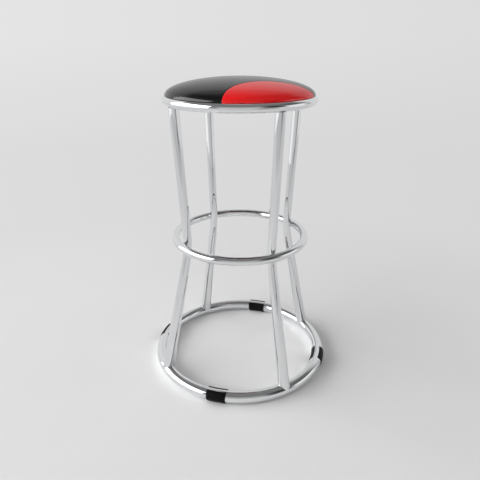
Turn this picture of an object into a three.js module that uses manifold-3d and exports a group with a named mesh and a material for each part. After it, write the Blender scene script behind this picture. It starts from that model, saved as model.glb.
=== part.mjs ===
import * as THREE from 'three';
import { mergeVertices, toCreasedNormals } from 'three/addons/utils/BufferGeometryUtils.js';
import Module from 'manifold-3d';

const wasm = await Module();
wasm.setup();

// Chromed tube bar stool with a low domed vinyl cushion.
// Lengths are in millimetres. Z points up, the floor is at zero and the seat's axis is the Z axis.
// The front is towards -Y. The legs stand on the diagonals and the floor clips on the two axes.

// Gap left between two pieces that touch or are welded
const SEAT_GAP = 0.3;
// How far a cutting body runs past the face that it cuts
const OVERRUN = 5;

// Base ring, a closed hoop of bent tube
const BASE_RING_RADIUS = 235.7;
const BASE_TUBE_RADIUS = 16;
const BASE_TUBE_WALL = 2;

// Footrest ring, outside the waist of the legs
const FOOTREST_RING_RADIUS = 176.2;
const FOOTREST_TUBE_RADIUS = 11;
const FOOTREST_TUBE_WALL = 1.5;
const FOOTREST_HEIGHT = 383;

// Seat ring, which carries the cushion
const SEAT_RING_RADIUS = 182;
const SEAT_TUBE_RADIUS = 11;
const SEAT_TUBE_WALL = 1.5;
const SEAT_RING_HEIGHT = 746;

// Plating vent drilled in each ring where a leg hides it
const VENT_RADIUS = 3;

// Legs: tapered tubes, thinnest at the waist, coped onto the base ring and under the seat ring
const LEG_WAIST_RADIUS = 10.8;
const LEG_TOP_RADIUS = 13.1;
const LEG_FOOT_MARGIN = 0.2;
const LEG_WALL = 1.5;
const LEG_TOP_INSET = 4;
const LEG_FOOT_OUTSET = 0.4;
const LEG_NOTCH = 2.6;
const LEG_WAIST_DROP = 8.6;
const LEG_BEND_REACH = 24;

// Floor clips: sprung saddles of black plastic, open at the top, with a flat tread
const CLIP_WALL = 1.6;
const CLIP_LENGTH = 54;
const CLIP_TREAD_LENGTH = 50;
const CLIP_TREAD_WIDTH = 16;
// How far the lips reach up the tube, from level, on the ring's outer and inner side
const CLIP_OUTER_LIP = THREE.MathUtils.degToRad(72);
const CLIP_INNER_LIP = THREE.MathUtils.degToRad(58);

// Mounting tabs welded inside the seat ring
const TAB_WIDTH = 26;
const TAB_THICKNESS = 3;
const TAB_RISE = 0.2;
const TAB_HOLE_INSET = 36;

// Seat board of plywood
const BOARD_THICKNESS = 12;
const BOARD_CHAMFER = 1;

// Vinyl cover and the cloth under the board
const COVER_THICKNESS = 1.2;
const HEM_WIDTH = 20;
const HEM_CHAMFER = 1;
const UNDERCLOTH_THICKNESS = 0.6;
const UNDERCLOTH_INSET = 11;

// Crown of the cushion: the roll over the seat ring and the dome above it
const ROLL_RADIUS = 3;
const CROWN_RISE = 37.7;
// Exponent of the dome's section: 2 is an ellipse, less is leaner at the edge
const CROWN_FULLNESS = 1.87;

// Red panel of the cover: a circle that overlaps the seat from one side
const PANEL_RADIUS = 161.5;
const PANEL_NEAREST = 88.6;
const PANEL_ANGLE = THREE.MathUtils.degToRad(-47);

// Seat screws, washers and tee nuts
const SCREW_RADIUS = 2.9;
const SCREW_HEAD_RADIUS = 6;
const SCREW_HEAD_HEIGHT = 3.5;
const SCREW_TIP_CHAMFER = 0.6;
const SCREW_TIP_COVER = 3.5;
const SOCKET_RADIUS = 2.3;
const SOCKET_DEPTH = 2.2;
const HOLE_CLEARANCE = 0.6;
const WASHER_RADIUS = 7.5;
const WASHER_THICKNESS = 1.2;
const TEE_BARREL_RADIUS = 4.2;
const TEE_FLANGE_RADIUS = 9.5;
const TEE_FLANGE_THICKNESS = 1.2;
const TEE_BARREL_SHORTFALL = 2;

// Facets of the round forms
const HOOP_SIDES = 48;
const FOAM_SIDES = 24;
const BASE_TUBE_SIDES = 16;
const THIN_TUBE_SIDES = 12;
const BORE_SIDES = 8;
const LEG_SIDES = 16;
const LEG_BORE_SIDES = 10;
const BEND_STEPS = 6;
const CLIP_ARC_STEPS = 7;
const HUG_STEPS = 3;
const ROLL_STEPS = 2;
const CROWN_STEPS = 7;
const PANEL_SIDES = 72;
const SMALL_SIDES = 16;
const VENT_SIDES = 8;
const TAB_ARC_STEPS = 6;
const CREASE_ANGLE = THREE.MathUtils.degToRad(35);

// Places round the axis: the legs on the diagonals, the clips and the seat's fixings between them
const QUARTER_TURN = Math.PI / 2;
const LEG_PLACES = ['back_right', 'back_left', 'front_left', 'front_right'].map((side, i) => {
  return { side, angle: (i + 0.5) * QUARTER_TURN };
});
const TAB_PLACES = ['right', 'back', 'left', 'front'].map((side, i) => {
  return { side, angle: i * QUARTER_TURN };
});

// Heights and radii that follow from the sizes above
const CLIP_BORE_RADIUS = BASE_TUBE_RADIUS + SEAT_GAP;
const CLIP_OUTER_RADIUS = CLIP_BORE_RADIUS + CLIP_WALL;
const BASE_RING_HEIGHT = CLIP_OUTER_RADIUS;
const SEAT_RING_BOTTOM = SEAT_RING_HEIGHT - SEAT_TUBE_RADIUS;
const TAB_BOTTOM = SEAT_RING_BOTTOM + TAB_RISE;
const TAB_TOP = TAB_BOTTOM + TAB_THICKNESS;
const TAB_HOLE_RADIUS = SEAT_RING_RADIUS - TAB_HOLE_INSET;
const UNDERCLOTH_BOTTOM = TAB_TOP + SEAT_GAP;
const HEM_BOTTOM = UNDERCLOTH_BOTTOM + UNDERCLOTH_THICKNESS + SEAT_GAP;
const BOARD_BOTTOM = HEM_BOTTOM + COVER_THICKNESS + SEAT_GAP;
const BOARD_TOP = BOARD_BOTTOM + BOARD_THICKNESS;
const ROLL_HEIGHT = SEAT_RING_HEIGHT + SEAT_TUBE_RADIUS + SEAT_GAP + ROLL_RADIUS;
const CROWN_RADIUS = SEAT_RING_RADIUS + ROLL_RADIUS;
const LEG_TOP_HEIGHT = TAB_BOTTOM + TAB_THICKNESS / 2;
const LEG_WAIST_HEIGHT = FOOTREST_HEIGHT - LEG_WAIST_DROP;
const LEG_WAIST_PLACE = FOOTREST_RING_RADIUS - FOOTREST_TUBE_RADIUS - LEG_WAIST_RADIUS + LEG_NOTCH;
const LEG_FOOT_PLACE = BASE_RING_RADIUS + LEG_FOOT_OUTSET;
const LEG_LEAN = Math.atan2(LEG_FOOT_PLACE - LEG_WAIST_PLACE, LEG_WAIST_HEIGHT - BASE_RING_HEIGHT);
// A leaning foot is wider when cut level, and it stays within the cut for the base ring
const LEG_FOOT_RADIUS = (BASE_TUBE_RADIUS + SEAT_GAP - LEG_FOOT_MARGIN) * Math.cos(LEG_LEAN);
const SCREW_HOLE_RADIUS = SCREW_RADIUS + HOLE_CLEARANCE;

// Solids and meshes

function toSolid(geometry) {
  const bare = geometry.clone();
  bare.deleteAttribute('normal');
  bare.deleteAttribute('uv');
  const merged = mergeVertices(bare);
  const index = merged.index.array;
  const triVerts = [];
  for (let i = 0; i < index.length; i += 3) {
    const [a, b, c] = [index[i], index[i + 1], index[i + 2]];
    if (a !== b && b !== c && c !== a) triVerts.push(a, b, c);
  }
  const vertProperties = new Float32Array(merged.attributes.position.array);
  return new wasm.Manifold(new wasm.Mesh({ numProp: 3, vertProperties, triVerts: new Uint32Array(triVerts) }));
}

function toGeometry(solid) {
  const mesh = solid.getMesh();
  const geometry = new THREE.BufferGeometry();
  geometry.setAttribute('position', new THREE.BufferAttribute(mesh.vertProperties, 3));
  geometry.setIndex(new THREE.BufferAttribute(mesh.triVerts, 1));
  return toCreasedNormals(geometry, CREASE_ANGLE);
}

// A hoop of solid round bar about the Z axis
function hoop(ringRadius, tubeRadius, height, tubeSides) {
  const geometry = new THREE.TorusGeometry(ringRadius, tubeRadius, tubeSides, HOOP_SIDES);
  return toSolid(geometry.translate(0, 0, height));
}

// A profile of [distance from the axis, height] points, turned about the Z axis
function revolve(points, sides) {
  const outline = points.map(([x, y]) => new THREE.Vector2(x, y));
  return toSolid(new THREE.LatheGeometry(outline, sides).rotateX(QUARTER_TURN));
}

// An upright round bar between two heights
function bar(radius, bottom, top, sides, x = 0, y = 0) {
  const geometry = new THREE.CylinderGeometry(radius, radius, top - bottom, sides).rotateX(QUARTER_TURN);
  return toSolid(geometry.translate(x, y, (bottom + top) / 2));
}

function turned(geometry, angle) {
  return geometry.clone().rotateZ(angle);
}

// A tapered tube through stations in the XZ plane, each with its centre, heading and radius
function taperedBar(stations, sides) {
  const positions = [];
  const index = [];
  for (const { centre, heading, radius } of stations) {
    for (let i = 0; i < sides; i++) {
      const angle = (2 * Math.PI * i) / sides;
      const across = radius * Math.cos(angle);
      positions.push(centre.x + heading.y * across, radius * Math.sin(angle), centre.y - heading.x * across);
    }
  }
  for (let ring = 0; ring + 1 < stations.length; ring++) {
    for (let i = 0; i < sides; i++) {
      const a = ring * sides + i;
      const b = ring * sides + ((i + 1) % sides);
      index.push(a, b, b + sides, a, b + sides, a + sides);
    }
  }
  const last = (stations.length - 1) * sides;
  for (let i = 1; i + 1 < sides; i++) {
    index.push(0, i + 1, i, last, last + i, last + i + 1);
  }
  const geometry = new THREE.BufferGeometry();
  geometry.setAttribute('position', new THREE.BufferAttribute(new Float32Array(positions), 3));
  geometry.setIndex(index);
  return toSolid(geometry);
}

// Rings

// A closed hoop of tube, vented by one small hole at each leg
function ringTube(ringRadius, tubeRadius, wall, height, tubeSides, vent) {
  const shell = hoop(ringRadius, tubeRadius, height, tubeSides);
  let ring = shell.subtract(hoop(ringRadius, tubeRadius - wall, height, BORE_SIDES));
  for (const { angle } of LEG_PLACES) {
    ring = ring.subtract(toSolid(turned(vent, angle)));
  }
  return toGeometry(ring);
}

// An upright vent from the middle of a ring's tube through its wall, up or down
function uprightVent(ringRadius, height, reach) {
  const drill = new THREE.CylinderGeometry(VENT_RADIUS, VENT_RADIUS, Math.abs(reach), VENT_SIDES);
  return drill.rotateX(QUARTER_TURN).translate(ringRadius, 0, height + reach / 2);
}

// A level vent through the inner side of a ring's tube
function levelVent(ringRadius, height, reach) {
  const drill = new THREE.CylinderGeometry(VENT_RADIUS, VENT_RADIUS, reach, VENT_SIDES);
  return drill.rotateZ(QUARTER_TURN).translate(ringRadius - reach / 2, 0, height);
}

// Legs

function legRadiusAt(height) {
  if (height > LEG_WAIST_HEIGHT) {
    const share = (height - LEG_WAIST_HEIGHT) / (SEAT_RING_HEIGHT - LEG_WAIST_HEIGHT);
    return THREE.MathUtils.lerp(LEG_WAIST_RADIUS, LEG_TOP_RADIUS, share);
  }
  const share = (LEG_WAIST_HEIGHT - height) / (LEG_WAIST_HEIGHT - BASE_RING_HEIGHT);
  return THREE.MathUtils.lerp(LEG_WAIST_RADIUS, LEG_FOOT_RADIUS, share);
}

// Stations of a leg from its foot to its top, thinned by the wall for its bore
function legStations(thinning, overrun) {
  const waist = new THREE.Vector2(LEG_WAIST_PLACE, LEG_WAIST_HEIGHT);
  const foot = new THREE.Vector2(LEG_FOOT_PLACE, BASE_RING_HEIGHT);
  const top = new THREE.Vector2(SEAT_RING_RADIUS - LEG_TOP_INSET, LEG_TOP_HEIGHT);
  const downwards = foot.clone().sub(waist).normalize();
  const upwards = top.clone().sub(waist).normalize();
  const bendStart = waist.clone().addScaledVector(downwards, LEG_BEND_REACH);
  const bendEnd = waist.clone().addScaledVector(upwards, LEG_BEND_REACH);
  const bend = new THREE.QuadraticBezierCurve(bendStart, waist, bendEnd);
  const centres = bend.getPoints(BEND_STEPS);
  const headings = centres.map((point, i) => bend.getTangent(i / BEND_STEPS));
  centres.unshift(foot.addScaledVector(downwards, overrun));
  headings.unshift(downwards.clone().negate());
  centres.push(top.addScaledVector(upwards, overrun));
  headings.push(upwards);
  return centres.map((centre, i) => {
    return { centre, heading: headings[i], radius: legRadiusAt(centre.y) - thinning };
  });
}

// A leg on the +X side: the tube, coped onto the base ring, notched round the footrest and under the seat ring
function legBlank() {
  const outside = taperedBar(legStations(0, 0), LEG_SIDES);
  const bore = taperedBar(legStations(LEG_WALL, OVERRUN), LEG_BORE_SIDES);
  const rings = [
    hoop(BASE_RING_RADIUS, BASE_TUBE_RADIUS + SEAT_GAP, BASE_RING_HEIGHT, BASE_TUBE_SIDES),
    hoop(FOOTREST_RING_RADIUS, FOOTREST_TUBE_RADIUS + SEAT_GAP, FOOTREST_HEIGHT, THIN_TUBE_SIDES),
    hoop(SEAT_RING_RADIUS, SEAT_TUBE_RADIUS + SEAT_GAP, SEAT_RING_HEIGHT, THIN_TUBE_SIDES),
  ];
  return toGeometry(rings.reduce((leg, ring) => leg.subtract(ring), outside.subtract(bore)));
}

// Floor clips

// One side of a clip's section, from its lip's inner edge down the outside to the tread's corner
function clipSide(lip, direction) {
  const points = [[Math.cos(lip), Math.sin(lip)].map((share) => share * (BASE_TUBE_RADIUS - CLIP_WALL))];
  const tread = -Math.acos(CLIP_TREAD_WIDTH / 2 / CLIP_OUTER_RADIUS);
  for (let i = 0; i <= CLIP_ARC_STEPS; i++) {
    const angle = THREE.MathUtils.lerp(lip, tread, i / CLIP_ARC_STEPS);
    points.push([CLIP_OUTER_RADIUS * Math.cos(angle), CLIP_OUTER_RADIUS * Math.sin(angle)]);
  }
  points.push([CLIP_TREAD_WIDTH / 2, -CLIP_OUTER_RADIUS]);
  return points.map(([x, z]) => [BASE_RING_RADIUS + direction * x, BASE_RING_HEIGHT + z]);
}

// The block that a clip's ends are cut to, which draws in towards the tread
function clipSpan() {
  const reach = CLIP_OUTER_RADIUS + OVERRUN;
  const middle = (CLIP_LENGTH + CLIP_TREAD_LENGTH) / 4;
  const draft = (((CLIP_LENGTH - CLIP_TREAD_LENGTH) / 4) * reach) / CLIP_OUTER_RADIUS;
  const outline = [
    new THREE.Vector2(draft - middle, -reach),
    new THREE.Vector2(middle - draft, -reach),
    new THREE.Vector2(middle + draft, reach),
    new THREE.Vector2(-middle - draft, reach),
  ];
  const options = { depth: 2 * reach, bevelEnabled: false };
  const block = new THREE.ExtrudeGeometry(new THREE.Shape(outline), options).rotateX(QUARTER_TURN);
  return toSolid(block.rotateZ(QUARTER_TURN).translate(BASE_RING_RADIUS - reach, 0, BASE_RING_HEIGHT));
}

// A clip on the +X side: a sprung saddle round the base ring's tube, with a flat tread under it
function clipBlank() {
  const outline = [...clipSide(CLIP_INNER_LIP, -1), ...clipSide(CLIP_OUTER_LIP, 1).reverse()];
  outline.push(outline[0]);
  const bore = hoop(BASE_RING_RADIUS, CLIP_BORE_RADIUS, BASE_RING_HEIGHT, BASE_TUBE_SIDES);
  return toGeometry(revolve(outline, HOOP_SIDES).intersect(clipSpan()).subtract(bore));
}

// Cushion

// The cushion's section at a depth under its outer face: up the ring's inner side, over its tube,
// round the roll and up the dome to the axis
function cushionSection(depth) {
  const points = [];
  const hug = SEAT_TUBE_RADIUS + SEAT_GAP + depth;
  for (let i = 0; i <= HUG_STEPS; i++) {
    const angle = Math.PI - (QUARTER_TURN * i) / HUG_STEPS;
    points.push([SEAT_RING_RADIUS + hug * Math.cos(angle), SEAT_RING_HEIGHT + hug * Math.sin(angle)]);
  }
  const roll = ROLL_RADIUS - depth;
  for (let i = 1; i <= ROLL_STEPS; i++) {
    const angle = (QUARTER_TURN * i) / ROLL_STEPS;
    points.push([SEAT_RING_RADIUS + roll * Math.sin(angle), ROLL_HEIGHT - roll * Math.cos(angle)]);
  }
  for (let i = 1; i < CROWN_STEPS; i++) {
    const angle = (QUARTER_TURN * i) / CROWN_STEPS;
    const across = Math.cos(angle) ** (2 / CROWN_FULLNESS);
    const rise = Math.sin(angle) ** (2 / CROWN_FULLNESS);
    points.push([(CROWN_RADIUS - depth) * across, ROLL_HEIGHT + (CROWN_RISE - depth) * rise]);
  }
  points.push([0, ROLL_HEIGHT + CROWN_RISE - depth]);
  return points;
}

function sideRadius(depth) {
  return SEAT_RING_RADIUS - SEAT_TUBE_RADIUS - SEAT_GAP - depth;
}

// Four upright bars on the tabs' hole circle
function screwBars(radius, bottom, top) {
  return TAB_PLACES.map(({ angle }) => {
    const x = TAB_HOLE_RADIUS * Math.cos(angle);
    const y = TAB_HOLE_RADIUS * Math.sin(angle);
    return bar(radius, bottom, top, SMALL_SIDES, x, y);
  });
}

function drilled(solid, bars) {
  return bars.reduce((left, hole) => left.subtract(hole), solid);
}

// The whole cover: one skin over the foam and the board's edge, hemmed under the board
function coverSkin() {
  const outside = sideRadius(0);
  const inside = sideRadius(COVER_THICKNESS);
  const hemTop = HEM_BOTTOM + COVER_THICKNESS;
  const hemEdge = outside - HEM_WIDTH;
  const profile = [
    ...cushionSection(COVER_THICKNESS).reverse(),
    [inside, hemTop],
    [hemEdge, hemTop],
    [hemEdge, HEM_BOTTOM],
    [outside - HEM_CHAMFER, HEM_BOTTOM],
    [outside, HEM_BOTTOM + HEM_CHAMFER],
    ...cushionSection(0),
  ];
  const skin = revolve(profile, HOOP_SIDES);
  return drilled(skin, screwBars(SCREW_HOLE_RADIUS, HEM_BOTTOM - OVERRUN, BOARD_BOTTOM));
}

// A round cutter that marks out the red panel
function panelCutter(grown) {
  const away = PANEL_NEAREST + PANEL_RADIUS;
  const x = away * Math.cos(PANEL_ANGLE);
  const y = away * Math.sin(PANEL_ANGLE);
  const top = ROLL_HEIGHT + CROWN_RISE + OVERRUN;
  return bar(PANEL_RADIUS + grown, HEM_BOTTOM - OVERRUN, top, PANEL_SIDES, x, y);
}

function blackPanel() {
  return toGeometry(coverSkin().subtract(panelCutter(SEAT_GAP)));
}

function redPanel() {
  return toGeometry(coverSkin().intersect(panelCutter(0)));
}

function foamPad() {
  const depth = COVER_THICKNESS + SEAT_GAP;
  const profile = [[0, BOARD_BOTTOM], [sideRadius(depth), BOARD_BOTTOM], ...cushionSection(depth)];
  const below = bar(CROWN_RADIUS + OVERRUN, BOARD_BOTTOM - OVERRUN, BOARD_TOP + SEAT_GAP, FOAM_SIDES);
  return toGeometry(revolve(profile, FOAM_SIDES).subtract(below));
}

function seatBoard() {
  const radius = sideRadius(COVER_THICKNESS + SEAT_GAP);
  const profile = [
    [0, BOARD_BOTTOM],
    [radius - BOARD_CHAMFER, BOARD_BOTTOM],
    [radius, BOARD_BOTTOM + BOARD_CHAMFER],
    [radius, BOARD_TOP - BOARD_CHAMFER],
    [radius - BOARD_CHAMFER, BOARD_TOP],
    [0, BOARD_TOP],
  ];
  const holes = screwBars(TEE_BARREL_RADIUS + SEAT_GAP, BOARD_BOTTOM - OVERRUN, BOARD_TOP + OVERRUN);
  const recessFloor = BOARD_TOP - TEE_FLANGE_THICKNESS - SEAT_GAP;
  const recesses = screwBars(TEE_FLANGE_RADIUS + SEAT_GAP, recessFloor, BOARD_TOP + OVERRUN);
  return toGeometry(drilled(revolve(profile, HOOP_SIDES), [...holes, ...recesses]));
}

function undercloth() {
  const cloth = bar(sideRadius(UNDERCLOTH_INSET), UNDERCLOTH_BOTTOM,
    UNDERCLOTH_BOTTOM + UNDERCLOTH_THICKNESS, HOOP_SIDES);
  return toGeometry(drilled(cloth, screwBars(SCREW_HOLE_RADIUS, TAB_TOP, HEM_BOTTOM)));
}

// Tabs and fasteners, each made on the +X side

// A round-ended steel strip with one hole, coped to the inside of the seat ring
function tabBlank() {
  const side = TAB_WIDTH / 2;
  const shape = new THREE.Shape();
  shape.moveTo(TAB_HOLE_RADIUS, -side);
  shape.lineTo(SEAT_RING_RADIUS, -side);
  shape.lineTo(SEAT_RING_RADIUS, side);
  shape.lineTo(TAB_HOLE_RADIUS, side);
  shape.absarc(TAB_HOLE_RADIUS, 0, side, QUARTER_TURN, 3 * QUARTER_TURN);
  const options = { depth: TAB_THICKNESS, bevelEnabled: false, curveSegments: TAB_ARC_STEPS };
  const strip = toSolid(new THREE.ExtrudeGeometry(shape, options).translate(0, 0, TAB_BOTTOM));
  const hole = bar(SCREW_HOLE_RADIUS, TAB_BOTTOM - OVERRUN, TAB_TOP + OVERRUN, SMALL_SIDES, TAB_HOLE_RADIUS);
  const ring = hoop(SEAT_RING_RADIUS, SEAT_TUBE_RADIUS + SEAT_GAP, SEAT_RING_HEIGHT, THIN_TUBE_SIDES);
  return toGeometry(strip.subtract(hole).subtract(ring));
}

function atTabHole(solid) {
  return toGeometry(solid).translate(TAB_HOLE_RADIUS, 0, 0);
}

function washerBlank() {
  const top = TAB_BOTTOM - SEAT_GAP;
  const bore = SCREW_RADIUS + SEAT_GAP;
  const disc = bar(WASHER_RADIUS, top - WASHER_THICKNESS, top, SMALL_SIDES);
  return atTabHole(disc.subtract(bar(bore, top - OVERRUN, top + OVERRUN, SMALL_SIDES)));
}

// A button head screw that comes up through the washer and the tab into the tee nut
function screwBlank() {
  const headTop = TAB_BOTTOM - SEAT_GAP - WASHER_THICKNESS - SEAT_GAP;
  const headBottom = headTop - SCREW_HEAD_HEIGHT;
  const tip = BOARD_TOP - SCREW_TIP_COVER;
  const profile = [
    [0, headBottom],
    [(SCREW_HEAD_RADIUS + SOCKET_RADIUS) / 2, headBottom],
    [SCREW_HEAD_RADIUS, headBottom + SCREW_HEAD_HEIGHT / 2],
    [SCREW_HEAD_RADIUS, headTop],
    [SCREW_RADIUS, headTop],
    [SCREW_RADIUS, tip - SCREW_TIP_CHAMFER],
    [SCREW_RADIUS - SCREW_TIP_CHAMFER, tip],
    [0, tip],
  ];
  const socket = bar(SOCKET_RADIUS, headBottom - OVERRUN, headBottom + SOCKET_DEPTH, 6);
  return atTabHole(revolve(profile, SMALL_SIDES).subtract(socket));
}

function teeNutBlank() {
  const bore = SCREW_RADIUS + SEAT_GAP;
  const flangeBottom = BOARD_TOP - TEE_FLANGE_THICKNESS;
  const profile = [
    [bore, BOARD_BOTTOM + TEE_BARREL_SHORTFALL],
    [TEE_BARREL_RADIUS, BOARD_BOTTOM + TEE_BARREL_SHORTFALL],
    [TEE_BARREL_RADIUS, flangeBottom],
    [TEE_FLANGE_RADIUS, flangeBottom],
    [TEE_FLANGE_RADIUS, BOARD_TOP],
    [bore, BOARD_TOP],
    [bore, BOARD_BOTTOM + TEE_BARREL_SHORTFALL],
  ];
  return atTabHole(revolve(profile, SMALL_SIDES));
}

// Finishes

const chrome = { color: 0xd4d7da, roughness: 0.08, metalness: 1 };
const zinc = { color: 0xb4b7ba, roughness: 0.35, metalness: 1 };
const blackVinyl = { color: 0x141415, roughness: 0.3, metalness: 0 };
const redVinyl = { color: 0xd8100f, roughness: 0.3, metalness: 0 };
const blackPlastic = { color: 0x17171a, roughness: 0.55, metalness: 0 };
const plywood = { color: 0xc49a6a, roughness: 0.75, metalness: 0 };
const foam = { color: 0xe8dfb8, roughness: 0.95, metalness: 0 };
const blackCloth = { color: 0x202022, roughness: 0.95, metalness: 0 };

// Assembly

const stool = new THREE.Group();
stool.name = 'bar_stool';

function add(name, geometry, finish) {
  const mesh = new THREE.Mesh(geometry, new THREE.MeshStandardMaterial(finish));
  mesh.name = name;
  stool.add(mesh);
  return mesh;
}

// A copy of a piece made on the +X side at each of the places round the axis
function addAround(name, geometry, finish, places) {
  for (const { side, angle } of places) {
    add(`${name}_${side}`, geometry, finish).rotation.z = angle;
  }
}

add('base_ring', ringTube(BASE_RING_RADIUS, BASE_TUBE_RADIUS, BASE_TUBE_WALL, BASE_RING_HEIGHT, BASE_TUBE_SIDES,
  uprightVent(BASE_RING_RADIUS, BASE_RING_HEIGHT, BASE_TUBE_RADIUS + OVERRUN)), chrome);
add('footrest_ring', ringTube(FOOTREST_RING_RADIUS, FOOTREST_TUBE_RADIUS, FOOTREST_TUBE_WALL, FOOTREST_HEIGHT,
  THIN_TUBE_SIDES, levelVent(FOOTREST_RING_RADIUS, FOOTREST_HEIGHT, FOOTREST_TUBE_RADIUS + OVERRUN)), chrome);
add('seat_ring', ringTube(SEAT_RING_RADIUS, SEAT_TUBE_RADIUS, SEAT_TUBE_WALL, SEAT_RING_HEIGHT, THIN_TUBE_SIDES,
  uprightVent(SEAT_RING_RADIUS, SEAT_RING_HEIGHT, -SEAT_TUBE_RADIUS - OVERRUN)), chrome);
addAround('leg', legBlank(), chrome, LEG_PLACES);
addAround('floor_clip', clipBlank(), blackPlastic, TAB_PLACES);
addAround('seat_tab', tabBlank(), chrome, TAB_PLACES);
addAround('seat_washer', washerBlank(), zinc, TAB_PLACES);
addAround('seat_screw', screwBlank(), zinc, TAB_PLACES);
addAround('tee_nut', teeNutBlank(), zinc, TAB_PLACES);
add('seat_board', seatBoard(), plywood);
add('underseat_cloth', undercloth(), blackCloth);
add('cushion_foam', foamPad(), foam);
add('cover_black_panel', blackPanel(), blackVinyl);
add('cover_red_panel', redPanel(), redVinyl);

export default stool;
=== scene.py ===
import math
import random

import bmesh
import bpy
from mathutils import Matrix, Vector


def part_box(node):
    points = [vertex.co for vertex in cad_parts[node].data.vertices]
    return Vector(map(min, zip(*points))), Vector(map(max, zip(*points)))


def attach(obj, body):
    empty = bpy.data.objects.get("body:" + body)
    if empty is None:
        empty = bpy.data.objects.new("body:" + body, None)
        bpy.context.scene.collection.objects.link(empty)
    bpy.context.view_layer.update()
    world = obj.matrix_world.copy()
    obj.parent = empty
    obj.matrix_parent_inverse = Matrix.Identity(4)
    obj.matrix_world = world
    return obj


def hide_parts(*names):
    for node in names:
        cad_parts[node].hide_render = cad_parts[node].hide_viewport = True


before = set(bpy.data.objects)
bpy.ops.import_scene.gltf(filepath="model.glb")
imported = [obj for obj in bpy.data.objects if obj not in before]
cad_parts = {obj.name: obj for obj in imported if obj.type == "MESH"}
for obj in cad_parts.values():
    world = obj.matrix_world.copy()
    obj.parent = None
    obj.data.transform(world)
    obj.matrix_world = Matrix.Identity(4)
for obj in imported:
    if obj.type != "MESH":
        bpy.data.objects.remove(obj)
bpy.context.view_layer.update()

# A chromed bar stool. All lengths are in metres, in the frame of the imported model: the floor is at zero,
# the seat's axis is the Z axis and the front is towards -Y.
MM = 0.001
QUARTER_TURN = math.pi / 2
TURN = 2 * math.pi


class Ring:
    """A hoop of round tube, as large as the frame says."""

    def __init__(self, node):
        low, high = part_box(node)
        self.node = node
        self.tube = (high[2] - low[2]) / 2
        self.radius = high[0] - self.tube
        self.height = (high[2] + low[2]) / 2

    def gap(self, point):
        """Distance from a point to the tube's surface, negative inside."""
        return math.hypot(math.hypot(point[0], point[1]) - self.radius, point[2] - self.height) - self.tube

    def normal(self, point):
        """Direction out of the tube at a point of its surface."""
        out = math.hypot(point[0], point[1])
        centre = Vector((point[0] / out * self.radius, point[1] / out * self.radius, self.height))
        return (Vector(point) - centre).normalized()


# Sizes from the frame
BASE, FOOTREST, SEAT = (Ring(name + "_ring") for name in ("base", "footrest", "seat"))
BOARD_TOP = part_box("seat_board")[1][2]
TAB_LOW_CORNER, TAB_HIGH_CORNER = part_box("seat_tab_right")
TAB_BOTTOM, TAB_TOP = TAB_LOW_CORNER[2], TAB_HIGH_CORNER[2]
TAB_WIDTH = TAB_HIGH_CORNER[1] - TAB_LOW_CORNER[1]
HOLE_CIRCLE = TAB_LOW_CORNER[0] + TAB_WIDTH / 2
CROWN_RADIUS, CROWN_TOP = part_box("cover_black_panel")[1][1:]
HEM_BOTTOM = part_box("cover_black_panel")[0][2]
CLOTH_RADIUS, _, CLOTH_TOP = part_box("underseat_cloth")[1]
CLOTH_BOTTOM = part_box("underseat_cloth")[0][2]

# Sizes that the frame doesn't say
SEAT_GAP = 0.3 * MM
MERGE = 0.02 * MM
FINE_MERGE = 0.01 * MM
LEG_WAIST_RADIUS = 10.8 * MM
LEG_TOP_RADIUS = 13.1 * MM
LEG_FOOT_MARGIN = 0.2 * MM
LEG_TOP_INSET = 4 * MM
LEG_FOOT_OUTSET = 0.4 * MM
LEG_NOTCH = 2.6 * MM
LEG_WAIST_DROP = 8.6 * MM
LEG_BEND_REACH = 30 * MM
WELD_SIZES = {"foot": 1.2 * MM, "waist": 0.9 * MM, "top": 0.7 * MM}
CLIP_WALL = 1.6 * MM
CLIP_LENGTH = 54 * MM
CLIP_TREAD_LENGTH = 50 * MM
CLIP_TREAD_WIDTH = 16 * MM
CLIP_OUTER_LIP = math.radians(72)
CLIP_INNER_LIP = math.radians(58)
CLIP_ROUNDING = 0.5 * MM
TAB_ROUNDING = 0.35 * MM
WASHER_RADIUS = 7.5 * MM
WASHER_THICKNESS = 1.2 * MM
SCREW_HEAD_RADIUS = 6 * MM
SCREW_HEAD_HEIGHT = 3.5 * MM
SCREW_RADIUS = 2.9 * MM
SCREW_HOLE_RADIUS = SCREW_RADIUS + 0.6 * MM
SCREW_TIP_DEPTH = 3.5 * MM
THREAD_PITCH = 1.0 * MM
THREAD_DEPTH = 0.5 * MM
SOCKET_RADIUS = 2.3 * MM
SOCKET_DEPTH = 2.2 * MM
HARDWARE_ROUNDING = 0.25 * MM
STAPLE_COUNT = 24
STAPLE_LENGTH = 9 * MM
STAPLE_WIDTH = 1.1 * MM
STAPLE_INSET = 5 * MM
STAPLE_STANDS_OUT = 0.28 * MM

# The cushion: a dome, a tight roll over the seat ring and a hem under the board
COVER_THICKNESS = 1.0 * MM
CUSHION_SIDE = SEAT.radius - SEAT.tube - SEAT_GAP
HEM_WIDTH = 20 * MM
HEM_CORNER = 1.0 * MM
PLEAT_HEIGHT = 0.12 * MM
ROLL_HEIGHT = SEAT.height + SEAT.tube + 0.8 * MM
DOME_BASE = ROLL_HEIGHT - 1.6 * MM
DOME_RADIUS = CROWN_RADIUS + 0.8 * MM
DOME_RISE = CROWN_TOP + 1.2 * MM - DOME_BASE
DOME_FULLNESS = 2.014
SETTLING = 0.8 * MM
SWAY = 0.25 * MM
STRETCHED_BELOW = ROLL_HEIGHT + 5 * MM
RELAXED_ABOVE = ROLL_HEIGHT + 11 * MM

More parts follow.
